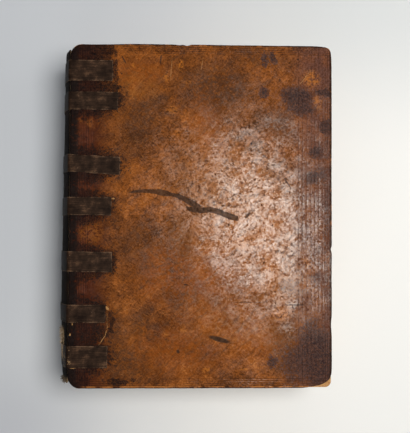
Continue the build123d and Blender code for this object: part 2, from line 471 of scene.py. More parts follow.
STREAK = (
    (-55.0, 18.6, 0.2), (-45.5, 20.0, 1.3), (-34.3, 19.9, 1.9), (-24.5, 18.6, 2.6), (-17.5, 17.2, 1.6),
    (-11.9, 15.7, 2.0), (-4.9, 12.2, 2.6), (0.8, 9.2, 2.8), (6.5, 6.3, 1.8),
)
STREAK_END = (
    (-5.7, 6.6, 1.0), (-0.6, 4.7, 2.1), (7.8, 4.3, 2.3), (14.8, 4.5, 2.4), (21.9, 2.8, 2.5), (27.4, 0.5, 2.5),
    (31.7, -1.0, 2.6), (36.4, -2.2, 2.3), (38.4, -2.7, 1.0),
)
print("marks:", len(BLACK_STAINS), "stains,", len(OCHRE_FLECKS), "flecks,", len(DARK_CUTS), "cuts")


# %% Helpers that draw lines and the long streak
LINE_HALF_WIDTH = 0.42
LINE_CORE = 0.1
GLUE_REACH_SHARE = 0.90
GLUE_MARGIN = 6.0


def streak_mask(place, points):
    """A smear whose middle line and half width follow a short list of (x, y, half width)."""
    xs, ys, widths = zip(*points)
    x, y = coordinate(place, "X"), coordinate(place, "Y")
    low, high, widest = min(ys), max(ys), max(widths)
    share = (x - xs[0]) * (1 / (xs[-1] - xs[0]))
    bends = [((px - xs[0]) / (xs[-1] - xs[0]), (py - low) / (high - low)) for px, py in zip(xs, ys)]
    swells = [(bend[0], width / widest) for bend, width in zip(bends, widths)]
    line = place.make("ShaderNodeFloatCurve", {"bends": bends}, {"Value": share})
    swell = place.make("ShaderNodeFloatCurve", {"bends": swells}, {"Value": share})
    apart = abs(y - (line * (high - low) + low)) - swell * widest
    begun, ended = x.rise(xs[0] - 0.6, xs[0] + 0.6), x.rise(xs[-1] + 0.7, xs[-1] - 0.7)
    return apart.rise(0.35, -0.35) * begun * ended


def line_mask(value, places):
    """Thin lines where a coordinate is near one of several places."""
    total = None
    for position in places:
        line = abs(value - position).rise(LINE_HALF_WIDTH, LINE_CORE)
        total = line if total is None else total.larger(line)
    return total


def strap_boxes(side):
    """Lowest and highest corner of every strap end on one cover, in millimetres."""
    return [box_mm(f"strap_{number}_{side}") for number in range(1, STRAP_COUNT + 1)]


def strap_stains(side):
    """Glue that soaked out round each strap end: widest at the joint, as an oval centred there."""
    stains = []
    for low, high in strap_boxes(side):
        middle, half = (low.y + high.y) / 2, (high.y - low.y) / 2
        reach = GLUE_REACH_SHARE * (high.x - joint_x)
        stains.append((MARKS_JOINT_X + 2, middle, reach, half + GLUE_MARGIN, 0, 1.5))
    return tuple(stains)


print("strap stains on the front:", len(strap_stains("front")))

# %% [markdown]
# Calf is dyed by hand with sponge and brush, so its brown comes in clouds and slanting strokes. The tone
# starts from both, in one ramp from dark to light. Broad places are then laid over it: dusky and orange ones
# as they came to the real cover, rubbed ones that are partly painted sheen, damp along the fore-edge, and a
# dark red strip along the joint.


# %% Tone of the calf
def calf_tone(local, x, small, fine, rubbed, marks):
    """Mottled brown with clouds, strokes and broad places, damp at the fore-edge and dark at the joint."""
    bent = shaken(local, 26, 7.0)
    strokes = grain(turned(bent, 0, 0, 48, 7.5, 1.1), 1.0, 4.0, 0.6)
    strokes = strokes + grain(turned(bent, 31, 17, -36, 6.5, 1.2), 1.0, 4.0, 0.6)
    cloud = grain(local, 44, 2.0, 0.5) * 0.32 + grain(local, 12, 4.0, 0.6) * 0.32
    cloud = cloud + strokes * 0.22 + small * 0.30 + fine * 0.38 - 0.06
    color = cloud.ramp(
        (0.63, tone(48, 26, 12)),
        (0.74, tone(88, 47, 17)),
        (0.82, tone(122, 67, 24)),
        (0.89, tone(150, 84, 31)),
        (1.0, tone(184, 114, 54)),
    )
    wide = shaken(local, 12, 9.0)
    color = (blots(wide, marks["dusky"], 0.75) * small.rise(0.30, 0.62)).mix(color, tone(62, 40, 26))
    color = (blots(wide, marks["warm"], 0.75) * small.rise(0.66, 0.36)).mix(color, tone(150, 76, 20))
    # Rubbed tan, and partly painted sheen: the lighter colour stands in for the gloss towards the lower
    # right.
    color = (rubbed * small.rise(0.34, 0.64)).mix(color, tone(166, 104, 51))
    smear = grain(turned(bent, 0, 0, 40, 22, 3.4), 1.0, 5.0, 0.65).rise(0.50, 0.70)
    color = (smear * 0.5).mix(color, tone(70, 44, 26))
    rub = grain(turned(bent, 9, 4, -50, 14, 0.8), 1.0, 4.0, 0.65).rise(0.57, 0.72)
    color = (rub * 0.35).mix(color, tone(164, 100, 46))
    speck = grain(local, 2.2, 5.0, 0.75).rise(0.62, 0.72)
    color = (speck * 0.5).mix(color, tone(188, 116, 50))
    for degrees, shade in ((-42, tone(196, 132, 74)), (40, tone(44, 26, 16)), (68, tone(52, 30, 18))):
        thin = grain(turned(bent, degrees, 7, degrees, 6.5, 0.3), 1.0, 2.0, 0.5).rise(0.64, 0.74)
        color = (thin * 0.55).mix(color, shade)
    damp = x.rise(62, 112) * grain(local, 22, 4.0, 0.6).rise(0.36, 0.60)
    color = (damp * 0.75).mix(color, tone(72, 42, 32))
    border = (MARKS_FORE_X - x).rise(36, 22)
    color = (border * fine.rise(0.34, 0.62) * 0.6).mix(color, tone(116, 78, 66))
    from_joint = x - MARKS_JOINT_X
    hinge_side = from_joint.rise(42, 18) * grain(local, 14, 3.0).rise(0.20, 0.46)
    color = (hinge_side * 0.88).mix(color, tone(64, 27, 15))
    return (from_joint.rise(10.0, 4.0) * small.rise(0.28, 0.48) * 0.95).mix(color, tone(15, 11, 10))


print("broad places:", len(DUSKY_ZONES), "dusky,", len(WARM_ZONES), "orange,", len(RUBBED_AND_SHEEN_ZONES), "rubbed")

# %% [markdown]
# Damage sits on top of the tone. Each kind is a mask from 0 to 1: pressed lines that are worn in places,
# pin holes, black stains, cuts with the long smear, and the edges, rubbed tan and dark on their rims with
# dirt and painted shade. Noise breaks the masks up, so that none has a clean outline.


# %% Masks of the damage
def pressed_lines(level, x, y):
    """The blind lines, broken where they are worn."""
    lines = line_mask(x - MARKS_JOINT_X, JOINT_LINES)
    lines = lines.larger(line_mask(MARKS_FORE_X - x, FORE_LINES) * 0.7)
    lines = lines.larger(line_mask(half_height - abs(y), END_LINES) * 0.8)
    return lines * grain(level, 9, 4.0, 0.6).rise(0.38, 0.56)


def pin_holes(local):
    """Small round holes in clusters."""
    near = dots(shaken(local, 3.0, 0.35), 0.27).rise(0.30, 0.17)
    return near * grain(local, 11, 4.0, 0.65).rise(0.50, 0.58) * grain(local, 4.5, 2.0).rise(0.46, 0.52)


def black_stains(level, small, fine, marks):
    """Stains that thin out into specks at their edges, and their darkest middles."""
    field = blots(shaken(level, 7.0, 6.0), marks["stains"], 0.7) + (small - 0.5) * 2.4 + (fine - 0.5) * 2.0
    return field.rise(0.38, 0.64), field.rise(0.7, 1.4)


def cuts_and_streaks(level, marks):
    """Dark cuts and the long smear across the middle."""
    cut = blots(shaken(level, 2.0, 0.35), marks["cuts"], 0.3)
    for points in marks["streaks"]:
        cut = cut.larger(streak_mask(shaken(level, 3.0, 0.6), points) * 0.86)
    return cut


def worn_edges(color, place, x, y):
    """Dirt and painted shade on the rims along three edges, leather rubbed through to tan, and a pale line at
    the tail.
    """
    from_end, from_fore, from_tail = half_height - abs(y), MARKS_FORE_X - x, y + half_height
    # The rounded rims go dark: dirt, and painted shade where a rim turns away from the light.
    dirt = (grain(place, 5, 4.0, 0.65) - 0.5) * 3.0
    dirt_and_rim_shade = (from_end + dirt).rise(2.2, 0.8).larger((from_fore + dirt).rise(3.0, 1.0))
    color = (dirt_and_rim_shade * 0.85).mix(color, tone(28, 17, 13))
    edge = from_end.rise(2.2, 0.9).larger(from_fore.rise(2.0, 0.8))
    color = (from_tail.rise(1.4, 0.8) * 0.85).mix(color, tone(58, 23, 13))
    tail = from_tail.rise(0.9, 1.3) * from_tail.rise(2.2, 1.7) * grain(place, 11, 4.0, 0.65).rise(0.42, 0.56)
    color = (tail * 0.75).mix(color, tone(192, 122, 60))
    return (edge * grain(place, 7, 5.0, 0.7).rise(0.55, 0.63) * 0.7).mix(color, tone(174, 108, 54))


print("calf helpers ready")

# %% [markdown]
# The finish lays tone and damage over one another, from the oldest mark to the newest. Calf shines where it
# is polished, which is between the pits, cuts and stains, so the same masks also thin out a clear coat.


# %% The calf finish
def calf_finish(name, marks, seed):
    """Mottled brown calf with its own zones, stains, flecks, cuts and smears."""
    material, start, place = new_finish(name)
    level = turned(flat(place), joint_x - MARKS_JOINT_X)
    local = turned(level, 53.0 * seed, 29.0 * seed)
    x, y = coordinate(level, "X"), coordinate(level, "Y")
    fine, small = grain(local, 1.5, 5.0, 0.7), grain(local, 3.2, 4.0, 0.65)
    rubbed = blots(shaken(local, 12, 9.0), marks["rubbed"], 0.75)
    color = calf_tone(local, x, small, fine, rubbed, marks)

    fleck = blots(shaken(level, 2.5, 1.6), marks["flecks"], 0.5) * (small * 0.6 + fine * 0.4).rise(0.42, 0.56)
    color = fleck.mix(color, tone(178, 104, 32))
    stain, core = black_stains(level, small, fine, marks)
    crack = abs(grain(local, 2.4, 4.0, 0.7) - 0.5).rise(0.05, 0.01)
    mottle = fine * 0.6 + small * 0.5
    # Stains are black on the left; towards the right they turn grey, a painted sheen over the real stain.
    black = mottle.ramp((0.44, tone(11, 9, 9)), (0.72, tone(42, 29, 25)))
    grey = mottle.ramp((0.42, tone(24, 21, 24)), (0.55, tone(62, 47, 45)), (0.68, tone(116, 84, 70)))
    grey = (core * 0.6).mix(grey, tone(34, 30, 33))
    color = (stain * (0.97 - crack * 0.45)).mix(color, x.rise(-30, 60).mix(black, grey))
    pit = pin_holes(local) * (rubbed * 0.7 + 0.3)
    color = (pit * 0.8).mix(color, tone(40, 21, 12))
    lines = pressed_lines(level, x, y)
    color = (lines * 0.75).mix(color, tone(34, 17, 14))
    ridges = line_mask(x - MARKS_JOINT_X, JOINT_RIDGES) * grain(level, 6, 4.0, 0.6).rise(0.40, 0.58)
    color = (ridges * (1 - stain * 0.7) * 0.5).mix(color, tone(116, 62, 42))
    cut = cuts_and_streaks(level, marks)
    color = (cut * 0.95).mix(color, small.ramp((0.36, tone(40, 29, 22)), (0.64, tone(64, 49, 39))))
    hair = blots(shaken(level, 1.6, 0.5), marks["hairs"], 0.3) * (small * 0.5 + fine * 0.5).rise(0.38, 0.52)
    color = hair.mix(color, tone(192, 142, 88))
    color = worn_edges(color, place, x, y)

    scratch = grain(turned(level, 0, 0, 34, 9, 0.35), 1.0, 3.0, 0.6)
    smooth = grain(local, 15, 4.0, 0.7) * 0.40 + small * 0.22 + fine * 0.60 + scratch * 0.38
    border = (MARKS_FORE_X - x).rise(33, 27)
    polish = smooth.rise(0.73, 0.93) * (1 - border * 0.32) * (1 - pit) * (1 - cut) * (1 - stain * 0.7)
    height = grain(level, 9.0, 2.0, 0.5) * 0.5 + small * 0.2 + scratch * 0.12 - pit * 0.3
    gloss = {"Specular_IOR_Level": 0.03, "Coat_Weight": polish, "Coat_Roughness": 0.2}
    close_finish(start, color, 0.46 + fine * 0.12, height, depth=0.07, **gloss)
    return material


front_marks = {
    "stains": BLACK_STAINS + strap_stains("front"),
    "flecks": OCHRE_FLECKS,
    "cuts": DARK_CUTS,
    "dusky": DUSKY_ZONES,
    "warm": WARM_ZONES,
    "rubbed": RUBBED_AND_SHEEN_ZONES,
    "hairs": HAIRS,
    "streaks": (STREAK, STREAK_END),
}
front_calf = calf_finish("front_calf", front_marks, seed=0)
print(front_calf.name, len(front_calf.node_tree.nodes), "nodes")

# %% [markdown]
# The back cover isn't in view, so it gets the same calf with plainer damage: glue round its straps,
# darkening along the edges and a few rubbed and stained places of its own.

# %% Calf on the back
BACK_STAINS = (
    (70, 96, 16, 9, 20, 0.6), (98, -104, 14, 20, 10, 0.8), (20, -120, 12, 5, 0, 0.5),
    (-92, 138, 12, 7, 0, 0.9), (-97, -137, 8, 9, 0, 1.0), (113, 0, 3.0, 130, 0, 0.5),
    (-100, 0, 4.0, 130, 0, 0.7),
)
BACK_FLECKS = (
    (-30, 60, 4, 2, 30, 0.6), (40, 20, 6, 3, 0, 0.5), (60, -60, 3, 5, 20, 0.6), (0, -90, 5, 2, 0, 0.6),
)
BACK_CUTS = ((10, 70, 9, 0.6, 24, 0.7), (55, -20, 6, 0.5, -40, 0.7), (-20, -50, 0.9, 0.9, 0, 0.9))
back_marks = {
    "stains": BACK_STAINS + strap_stains("back"),
    "flecks": BACK_FLECKS,
    "cuts": BACK_CUTS,
    "dusky": ((30, 70, 30, 16, 25, 0.7), (-20, -40, 16, 30, 0, 0.7)),
    "warm": ((50, -30, 22, 30, 0, 0.6), (-40, 100, 18, 14, 0, 0.6)),
    "rubbed": ((30, 10, 40, 60, -20, 0.8),),
    "hairs": ((40, 90, 0.4, 9.0, 40, 0.6), (-30, -110, 0.4, 7.0, -60, 0.6)),
    "streaks": (),
}
back_calf = calf_finish("back_calf", back_marks, seed=1)
print(back_calf.name, len(back_calf.node_tree.nodes), "nodes")

# %% [markdown]
# ## The two covers
#
# A cover is pasteboard in calf: a flat outside with rounded edges, walls, and leather turned in over the
# inside. The outside is a grid, with extra lines where the tool pressed its grooves. Square corners of the
# grid are pulled into quarter circles. From the grid's border, rings go over the edge, down the wall and in
# to the pastedown. Where a corner is worn, the leather shrinks back from it, so that the board shows.

# %% Outline and relief of a cover
GRID_STEP = 1.55
GROOVE_HALF_WIDTH = 0.45
GROOVE_DEPTH = 0.09
TOP_DENT = 0.16
OUTLINE_BEND = 0.22
WINDOW_STEP = 0.5
TURN_IN_WAVE = 0.5
EDGE_TURNS = (0.25, 0.5, 0.75, 1.0)
WALL_STEPS = ((0.0, 1.2), (0.05, 0.35), (0.4, 0.0))
flat_low = half_gap + EDGE_RADIUS
flat_high = cover_width - EDGE_RADIUS
flat_end = half_height - EDGE_RADIUS


def grid_lines(low, high, grooves):
    """Even places from low to high, with three lines at each groove."""
    places = spread(low, high, round((high - low) / GRID_STEP) + 1)
    apart = 1.6 * GROOVE_HALF_WIDTH
    places = [p for p in places if p in (low, high) or all(abs(p - g) > apart for g in grooves)]
    for groove in grooves:
        places += [groove - GROOVE_HALF_WIDTH, groove, groove + GROOVE_HALF_WIDTH]
    return sorted(p for p in places if low <= p <= high)


def cover_point(u, v):
    """A grid point pulled into the rounded corners, and which way is out of the cover there."""
    fore = u > cover_width / 2
    radius = (FORE_CORNER_RADIUS if fore else BACK_CORNER_RADIUS) - EDGE_RADIUS
    side, end = (1 if fore else -1), (1 if v > 0 else -1)
    centre_u = flat_high - radius if fore else flat_low + radius
    centre_v = end * (flat_end - radius)
    across, along = side * (u - centre_u) / radius, end * (v - centre_v) / radius
    if across <= 0 or along <= 0:
        sideways = across > along and across > 0
        at_side = u in (flat_low, flat_high)
        return u, v, Vector((side, 0)) if at_side or sideways and abs(v) < flat_end else Vector((0, end))
    bent_u = across * math.sqrt(1 - along * along / 2)
    bent_v = along * math.sqrt(1 - across * across / 2)
    out = Vector((side * bent_u, end * bent_v)).normalized()
    return centre_u + side * radius * bent_u, centre_v + end * radius * bent_v, out


def shrink(u, v, wear):
    """A point moved in from the worn places, each (u, v, inward u, inward v, depth, reach)."""
    for worn_u, worn_v, in_u, in_v, depth, reach in wear:
        pull = depth * math.exp(-((u - worn_u) ** 2 + (v - worn_v) ** 2) / reach**2)
        u, v = u + in_u * pull, v + in_v * pull
    return u, v


print("grid lines along the cover:", len(grid_lines(flat_low, flat_high, JOINT_LINES)))


# %% Build a cover
def calf_cover(name, place, wear, seed):
    """The calf of one cover as a closed shell, from its outside to the edge of its pastedown."""
    grooves_u = list(JOINT_LINES) + [cover_width - inset for inset in FORE_LINES]
    grooves_v = [end * (half_height - inset) for inset in END_LINES for end in (1, -1)]
    us = grid_lines(flat_low, flat_high, grooves_u)
    vs = grid_lines(-flat_end, flat_end, grooves_v)
    points, outward = [], []

    def groove(u, v):
        pressed = max(0.0, 0.55 + 0.7 * wobble(seed + 5, 22, u, v))
        return GROOVE_DEPTH * min(pressed, 1.0) if u in grooves_u or v in grooves_v else 0.0

    def add(u, v, w):
        u, v = shrink(u, v, wear)
        points.append(place @ Vector((u, v, w)))

    for v in vs:
        for u in us:
            bent_u, bent_v, out = cover_point(u, v)
            dent = TOP_DENT * (wobble(seed, 34, u, v) - 0.6 + 0.5 * wobble(seed + 1, 9, u, v))
            add(bent_u, bent_v, -strap_thickness + min(dent, 0.0) - groove(u, v))
            outward.append((bent_u, bent_v, out))
    rows, columns = len(vs), len(us)
    faces = grid_faces(rows, columns)
    border = grid_border(rows, columns)

    turns = [share * math.pi / 2 for share in EDGE_TURNS]
    rings = [(EDGE_RADIUS * math.sin(a), strap_thickness + EDGE_RADIUS * (1 - math.cos(a))) for a in turns]
    rings += [(EDGE_RADIUS - back, cover_depth - above) for back, above in WALL_STEPS]
    last = border
    for out_by, depth in rings:
        ring = []
        for index in border:
            u, v, out = outward[index]
            bend = OUTLINE_BEND * (wobble(seed + 2, 26, u, v) + 0.5 * wobble(seed + 3, 6, u, v)) - 0.04
            bend = 0.2 if out.x < -0.9 else min(bend, 0.0)
            step = out_by + bend * out_by / EDGE_RADIUS
            ring.append(len(points))
            add(u + out.x * step, v + out.y * step, -depth)
        faces += bridge(last, ring)
        last = ring
    for depth in (cover_depth, cover_depth - WINDOW_STEP):
        ring = []
        for index in border:
            u, v, _ = outward[index]
            ring.append(len(points))
            inner_u = min(max(u, half_gap + 1.0), cover_width - TURN_IN_WIDTH)
            inner_v = max(min(v, half_height - TURN_IN_WIDTH), TURN_IN_WIDTH - half_height)
            wave = TURN_IN_WAVE * wobble(seed + 4, 18, u, v)
            add(inner_u + (wave if inner_u != u else 0.0), inner_v + (wave if inner_v != v else 0.0), -depth)
        faces += bridge(last, ring)
        last = ring
    faces.append(tuple(last))
    return mesh_piece(name, points, faces)


print("rings from the edge to the inside:", len(EDGE_TURNS) + len(WALL_STEPS))

# %% Make both covers
FRONT_WEAR = (
    (cover_width - 2.0, -half_height + 1.0, -0.55, 0.83, 4.6, 8.0),
    (cover_width - 14.0, -half_height, 0.0, 1.0, 1.3, 7.0),
    (cover_width - 1.0, half_height - 1.0, -0.7, -0.7, 1.1, 8.0),
    (98.6, half_height, 0.0, -1.0, 1.1, 2.2),
    (92.0, half_height, 0.0, -1.0, 0.5, 3.0),
    (18.0, half_height, 0.0, -1.0, 0.9, 20.0),
    (cover_width, -28.2, -1.0, 0.0, 1.0, 1.8),
    (cover_width, -92.0, -1.0, 0.0, 0.6, 6.0),
)
BACK_WEAR = (
    (cover_width - 1.5, -half_height + 1.5, -0.7, 0.7, 2.2, 6.0),
    (cover_width - 1.0, half_height - 1.0, -0.7, -0.7, 1.6, 7.0),
)
for side, place, wear, finish, seed in (
    ("front", front_place, FRONT_WEAR, front_calf, 3),
    ("back", back_place, BACK_WEAR, back_calf, 14),
):
    cover = calf_cover(f"{side}_calf_cover", place, wear, seed)
    cover.data.materials.append(finish)
    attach(cover, f"{side}_cover")
    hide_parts(f"{side}_leather")
    print(cover.name, len(cover.data.polygons), "faces")

# %% [markdown]
# ## Boards and pastedowns
#
# The solids of the boards and of the paper pasted inside the covers already have their true form, so they
# stay and get a finish. Pasteboard is layers of old paper, tan and fibrous, darker where it is dirty. Old
# paper is browned most along its edges, where air and the leather's acid reach it, and it carries
# rust-coloured spots.


# %% Pasteboard and paper finishes
BROWNED_WIDTH = 14


def pasteboard_finish():
    """Bare board at a worn corner: tan layers with dirt in them, and painted shade near the joint."""
    material, start, place = new_finish("bare_pasteboard")
    layers = grain(turned(place, 0, 0, 0, 8, 8, 0.35), 1.0, 4.0, 0.7)
    fibres = grain(place, 0.8, 4.0, 0.7)
    color = (layers * 0.6 + fibres * 0.5).ramp(
        (0.38, tone(128, 82, 44)), (0.55, tone(196, 146, 92)), (0.72, tone(222, 188, 146))
    )
    # Painted shade: the board turns nearly black near the joint, in the gap between cover and spine.
    color = coordinate(place, "X").rise(joint_x + 4, joint_x + 2.5).mix(color, tone(20, 15, 13))
    close_finish(start, color, 0.85 + fibres * 0.1, layers + fibres * 0.6, depth=0.25)
    return material


def old_paper_finish(name, pale, brown, margin):
    """Browned paper with a darker margin and scattered rust spots."""
    material, start, place = new_finish(name)
    level = flat(place)
    x, y = coordinate(level, "X"), coordinate(level, "Y")
    shade = grain(level, 38, 4.0, 0.6)
    color = (shade * 0.9).ramp((0.30, brown), (0.62, pale))
    end, fore = half_height - margin, joint_x + cover_width - margin
    browned = abs(y).rise(end - BROWNED_WIDTH, end).larger(x.rise(fore - BROWNED_WIDTH, fore))
    color = (browned * grain(level, 9, 4.0).rise(0.25, 0.6) * 0.7).mix(color, tone(150, 108, 64))
    rust = dots(shaken(level, 4, 2.0), 0.055).rise(0.16, 0.04) * grain(level, 25, 2.0).rise(0.45, 0.6)
    color = (rust * 0.55).mix(color, tone(142, 92, 48))
    wave = {"Vector": level, "Scale": 0.16, "Distortion": 0.6}
    laid = abs(start.make("ShaderNodeTexWave", {"wave_profile": "SIN"}, wave) - 0.5)
    height = grain(level, 1.1, 4.0, 0.7) + laid * 0.25 + grain(level, 30, 2.0) * 2.0
    close_finish(start, color, 0.82 + shade * 0.12, height, depth=0.08)
    return material


def give_finish(material, *nodes):
    """Puts a finish on CAD solids that stay in view."""
    for node in nodes:
        mesh = frame["nodes"][node].data
        mesh.materials.clear()
        mesh.materials.append(material)


give_finish(pasteboard_finish(), "front_board", "back_board")
pastedown_paper = old_paper_finish("pastedown_paper", tone(206, 186, 150), tone(176, 148, 106), 16)
give_finish(pastedown_paper, "front_pastedown", "back_pastedown")
print("boards and pastedowns finished")

# %% [markdown]
# ## The leaves
#
# About eight hundred leaves are sewn together, rounded at the back and trimmed. No one leaf can be told
# apart from a step away, but their edges are never level, so the block is built leaf line by leaf line:
# each row of points goes once round the block, a little further in or out than the last. At the back the
# rows fan out over the shoulders that the covers sit against.

# %% Shape of the leaves
LEAF_ROWS = 214
LEAF_COLUMNS = 42
LEAF_LINES = 46
LEAF_UNEVEN = 0.13
LEAF_SHAKE = 0.07
SHOULDER_BEND = 1.6
SHOULDER_REACH = 5

strap_round = BACK_ROUND + SPINE_CLEARANCE + SPINE_THICKNESS + STRAP_GLUE + strap_thickness
strap_half_chord = middle_z - JOINT_DROP
strap_radius = (strap_half_chord**2 + strap_round**2) / (2 * strap_round)
centre_depth = strap_radius - strap_round
leather_radius = strap_radius - strap_thickness - STRAP_GLUE
leather_round = leather_radius - centre_depth
leather_half_chord = math.sqrt(leather_radius**2 - centre_depth**2)
back_radius = leather_radius - SPINE_THICKNESS - SPINE_CLEARANCE
back_half_angle = math.acos(centre_depth / back_radius)
fore_x = joint_x + cover_width - LEAVES_SQUARE


def leaf_height(x, share):
    """Height of a leaf at x, between the lowest and the one under the front cover."""
    along = (x - joint_x + leaf_low * math.sin(front_slope)) / math.cos(front_slope)
    top = top_z - along * math.sin(front_slope) - leaf_low * math.cos(front_slope)
    return leaf_low + share * (top - leaf_low)


def leaf_block(name):
    """The sewn leaves as one closed block with uneven leaf edges."""
    chance = random.Random(11)
    points, faces = [], []
    ring = 2 * (LEAF_COLUMNS + LEAF_LINES) - 4
    for row, share in enumerate(spread(0.0, 1.0, LEAF_ROWS)):
        angle = (2 * share - 1) * back_half_angle
        back_x = shoulder_x + centre_depth - back_radius * math.cos(angle)
        back_z = middle_z + back_radius * math.sin(angle)
        edge_x = fore_x - FORE_EDGE_HOLLOW * (1 - (2 * share - 1) ** 2)
        outer = row in (0, LEAF_ROWS - 1)
        uneven = 0.0 if outer else LEAF_UNEVEN * (chance.uniform(-1.6, 0.2) + 0.9 * wobble(21, 5, row))
        xs = [back_x, shoulder_x + SHOULDER_BEND]
        xs += spread(shoulder_x + SHOULDER_REACH, edge_x + uneven, LEAF_COLUMNS - 2)
        end = leaves_half_height + 1.3 * min(uneven, 0.0) - (0.0 if outer else 0.05)
        ys = spread(-end, end, LEAF_LINES)

        def leaf_point(x, y):
            rest = leaf_height(x, share)
            settle = fade(x, back_x, shoulder_x + SHOULDER_BEND)
            inset = 0.0 if outer else LEAF_SHAKE * wobble(31 + row % 7, 9, x, y, row)
            return (x, y + (inset if abs(y) == end else 0.0), back_z * (1 - settle) + rest * settle)

        loop = [leaf_point(x, -end) for x in xs]
        loop += [leaf_point(xs[-1], y) for y in ys[1:]]
        loop += [leaf_point(x, end) for x in xs[-2::-1]]
        loop += [leaf_point(xs[0], y) for y in ys[-2:0:-1]]
        if row:
            start = len(points)
            faces += bridge(list(range(start - ring, start)), list(range(start, start + ring)))
        points += loop
        if outer:
            faces += grid_faces(LEAF_LINES, LEAF_COLUMNS, len(points))
            points += [leaf_point(x, y) for y in ys for x in xs]
    return mesh_piece(name, points, faces)


leaves = leaf_block("leaf_block")
print(leaves.name, len(leaves.data.polygons), "faces")


# %% Finish of the leaves
LEVEL_NORMAL = 0.97
OUTER_FACE_AREA = 4


def leaf_finish():
    """Browned leaf edges, darker towards the front cover, glued dark at the back with painted shade on the
    shoulder, and the outer leaves as old paper.
    """
    material, start, place = new_finish("leaf_edges")
    level = flat(place)
    lines = grain(turned(place, 0, 0, 0, 60, 60, 0.28), 1.0, 3.0, 0.7)
    bands = grain(turned(place, 0, 0, 0, 160, 160, 3.0), 1.0, 2.0, 0.5)
    cloud = grain(place, 26, 4.0, 0.6)
    color = (lines * 0.5 + bands * 0.25 + cloud * 0.35).ramp(
        (0.38, tone(126, 96, 62)), (0.52, tone(176, 146, 104)), (0.66, tone(204, 180, 140))
    )
    # The leaf edges darken towards the front cover.
    darker_towards_cover = coordinate(place, "Z").rise(top_z - 14, top_z - 6) * grain(place, 18, 3.0).rise(0.3, 0.6)
    color = (darker_towards_cover * 0.45).mix(color, tone(112, 86, 60))
    rust = dots(shaken(level, 4, 2.0), 0.06).rise(0.13, 0.03) * grain(level, 25, 2.0).rise(0.48, 0.62)
    color = (rust * 0.5).mix(color, tone(140, 92, 50))
    # Glue darkens the back of the leaves; on the shoulder, which shows in the gap at the joint, the same dark
    # is painted shade.
    glue_and_gap_shade = coordinate(place, "X").rise(shoulder_x + 3.4, shoulder_x + 2.0)
    color = (glue_and_gap_shade * 0.95).mix(color, tone(30, 22, 17))
    close_finish(start, color, 0.85 + cloud * 0.1, lines * 1.2 + grain(place, 1.2, 3.0), depth=0.1)
    return material


leaves.data.materials.append(leaf_finish())
leaves.data.materials.append(old_paper_finish("outer_leaf", tone(210, 190, 154), tone(182, 154, 112), 6))
for polygon in leaves.data.polygons:
    outer_leaf = abs(polygon.normal.z) > LEVEL_NORMAL and polygon.area > OUTER_FACE_AREA * MM * MM
    polygon.material_index = int(outer_leaf)
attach(leaves, "book_block")
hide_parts("text_block")
print("leaf edges finished")

# %% [markdown]
# ## The spine
#
# The spine leather has gone almost black. It is short at both ends, ragged there, creased across, and
# stands off the leaves above the tail, where it is torn down to its tan fibres. It is one sheet that
# follows the round of the back, and it swells where the leather is loose.

# %% Shape of the spine leather
bulge_y = spine_head - BULGE_PLACE_SHARE * (spine_head - spine_tail)


def bulge(y):
    """How far the spine leather stands off at a height."""
    if y > bulge_y:
        return SPINE_BULGE * (spine_head - y) / (spine_head - bulge_y)
    return SPINE_BULGE * (1 - (bulge_y - y) / (bulge_y - spine_tail) * (1 - TAIL_BULGE_SHARE))


def spine_point(y, share, half_chord, rounding, lift=0.0):
    """A point round the spine: share runs from -1 at the back joint to 1 at the front joint."""
    swell = rounding + bulge(y)
    radius = (half_chord**2 + swell**2) / (2 * swell)
    angle = share * math.asin(half_chord / radius)
    reach = radius + lift
    x = shoulder_x + radius - swell - reach * math.cos(angle)
    return Vector((x, y, middle_z + reach * math.sin(angle)))


TORN_Y = (-122.0, -96.0)
TORN_DEPTH = 0.55
RAGGED_REACH = 14
RAGGED_DEEP, RAGGED_FINE = 2.4, 1.2
CREASE_BROAD, CREASE_FINE = 0.16, 0.1
SPINE_ROWS = 200
SPINE_COLUMNS = 60
SPINE_SHEET_SHARE = 0.9
HALF_ARC = 34


def torn_depth(y, share):
    """How much of the spine leather is torn off, from 0 to 1."""
    frayed_y = y + 3.0 * wobble(41, 5, share * 30, y)
    band = fade(frayed_y, TORN_Y[0] - 2, TORN_Y[0] + 2) * (1 - fade(frayed_y, TORN_Y[1] - 2, TORN_Y[1] + 2))
    tail = 1 - fade(frayed_y, spine_tail + 4, spine_tail + 9)
    inner, outer = share + 0.3 * wobble(43, 7, y), share + 0.2 * wobble(42, 9, y)
    strip = fade(inner, 0.0, 0.2) * (1 - fade(outer, 0.66, 0.80))
    return max(band * strip, tail * 0.8)


def spine_sheet(name):
    """The spine leather with ragged ends, creases and its torn place."""
    rows = []
    for y in spread(spine_tail, spine_head, SPINE_ROWS):
        row = []
        for share in spread(-1.0, 1.0, SPINE_COLUMNS):
            broad, thin = wobble(51, 4, share * HALF_ARC), wobble(52, 1.5, share * HALF_ARC)
            ragged = RAGGED_DEEP * abs(broad) + RAGGED_FINE * abs(thin)
            at_head = fade(y, spine_head - RAGGED_REACH, spine_head)
            at_tail = 1 - fade(y, spine_tail, spine_tail + RAGGED_REACH)
            at_y = y - ragged * at_head + 1.1 * ragged * at_tail
            fold = CREASE_BROAD * wobble(53, 7, share * 20, y * 2.2)
            crease = fold + CREASE_FINE * wobble(54, 2.5, share * HALF_ARC, y)
            lift = min(crease, 0.04) * (1 - abs(share) ** 8) - TORN_DEPTH * torn_depth(at_y, share)
            row.append(spine_point(at_y, share, leather_half_chord, leather_round, lift))
        rows.append(row)
    return leather_sheet(name, rows, SPINE_THICKNESS * SPINE_SHEET_SHARE)


spine = spine_sheet("spine_calf_sheet")
print(spine.name, len(spine.data.polygons), "faces")


